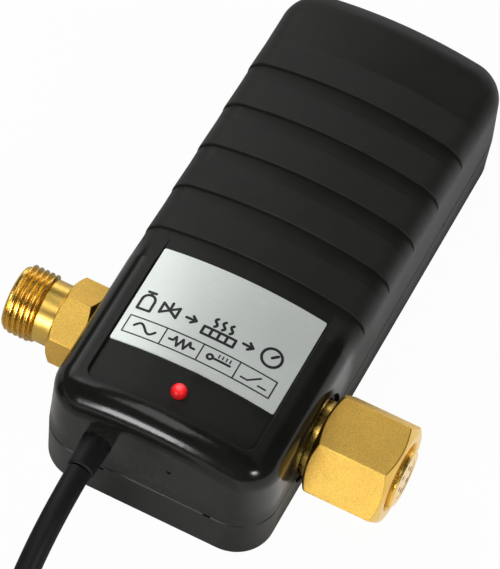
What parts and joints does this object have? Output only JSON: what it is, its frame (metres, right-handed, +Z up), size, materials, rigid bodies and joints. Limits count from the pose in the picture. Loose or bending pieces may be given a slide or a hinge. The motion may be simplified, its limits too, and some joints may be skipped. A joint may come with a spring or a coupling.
{
  "type": "in-line electric gas heater",
  "caption": "Hand-sized black housing with grip ribs, a pilot light and a mains lead, and brass fittings on both sides that warm a gas line before its pressure regulator.",
  "frame": {"origin": "centre of the housing's flat base", "axes": "+Z up from the base, +Y towards the ribbed end, +X towards the union nut; the mains lead leaves on -Y and the male outlet is on -X"},
  "size_m": [0.1798, 0.3346, 0.0476],
  "materials": {
    "housing_plastic": "fine satin grain on the roof, smoother and glossier on the rounded edges",
    "plate_metal": "brushed along its length, clear lacquered",
    "lens_red": "clear red epoxy dome",
    "board_green": "solder mask",
    "resistor_body": "lacquered",
    "cord_rubber": "matt flexible sheath",
    "terminal_plastic": "moulded, satin",
    "screw_steel": "zinc plated",
    "sheet_steel": "plain bright sheet",
    "block_aluminium": "milled",
    "brass": "turned and milled, satin on the flats and brighter on turned faces",
    "seal_fibre": "vulcanised fibre",
    "ring_plastic": "natural slippery plastic",
    "contact_nickel": "nickel plated",
    "mica_sheet": "layered mica",
    "wire_brown": "smooth insulation",
    "wire_blue": "smooth insulation",
    "wire_green": "smooth insulation, green and yellow",
    "wire_black": "smooth insulation"
  },
  "bodies": {
    "housing": {"block_screw_1": "screw_steel", "block_screw_2": "screw_steel", "cartridge_heater": "sheet_steel", "channel_plug_1": "brass", "channel_plug_2": "brass", "channel_plug_3": "brass", "clamp_bar": "terminal_plastic", "clamp_screw_1": "screw_steel", "clamp_screw_2": "screw_steel", "cord_coil": "cord_rubber", "cord_grommet": "cord_rubber", "earth_lug": "contact_nickel", "earth_screw": "screw_steel", "earth_strip_1": "contact_nickel", "earth_strip_2": "contact_nickel", "fuse_clip": "sheet_steel", "fuse_screw": "screw_steel", "heater_block": "block_aluminium", "inlet_nipple": "brass", "inlet_seal": "seal_fibre", "inner_sheath": "cord_rubber", "insulation_pad": "mica_sheet", "lamp_board": "board_green", "lower_shell": "housing_plastic", "outlet_fitting": "brass", "outlet_seal": "seal_fibre", "pilot_lens": "lens_red", "plug_body": "cord_rubber", "plug_cord": "cord_rubber", "plug_pin_1": "contact_nickel", "plug_pin_2": "contact_nickel", "rating_plate": "plate_metal", "series_resistor": "resistor_body", "shell_screw_1": "screw_steel", "shell_screw_2": "screw_steel", "shell_screw_3": "screw_steel", "shell_screw_4": "screw_steel", "strainer_disc": "brass", "supply_cord": "cord_rubber", "terminal_block": "terminal_plastic", "terminal_screw_1": "screw_steel", "terminal_screw_2": "screw_steel", "terminal_screw_3": "screw_steel", "thermal_fuse": "sheet_steel", "thermostat": "sheet_steel", "thermostat_screw_1": "screw_steel", "thermostat_screw_2": "screw_steel", "upper_shell": "housing_plastic", "wire_earth": "wire_green", "wire_lamp": "wire_black", "wire_live": "wire_brown", "wire_neutral": "wire_blue", "wire_switched": "wire_brown"},
    "nut_carrier": {"thrust_ring": "ring_plastic"},
    "nut": {"union_nut": "brass"}
  },
  "joints": [
    {"name": "nut_slide", "type": "slide", "parent": "housing", "child": "nut_carrier", "axis": [1, 0, 0], "range_m": [0, 0.01575]},
    {"name": "nut_spin", "type": "hinge", "parent": "nut_carrier", "child": "nut", "pos_m": [0.0511, -0.0474, 0.0175], "axis": [1, 0, 0], "continuous": true}
  ]
}
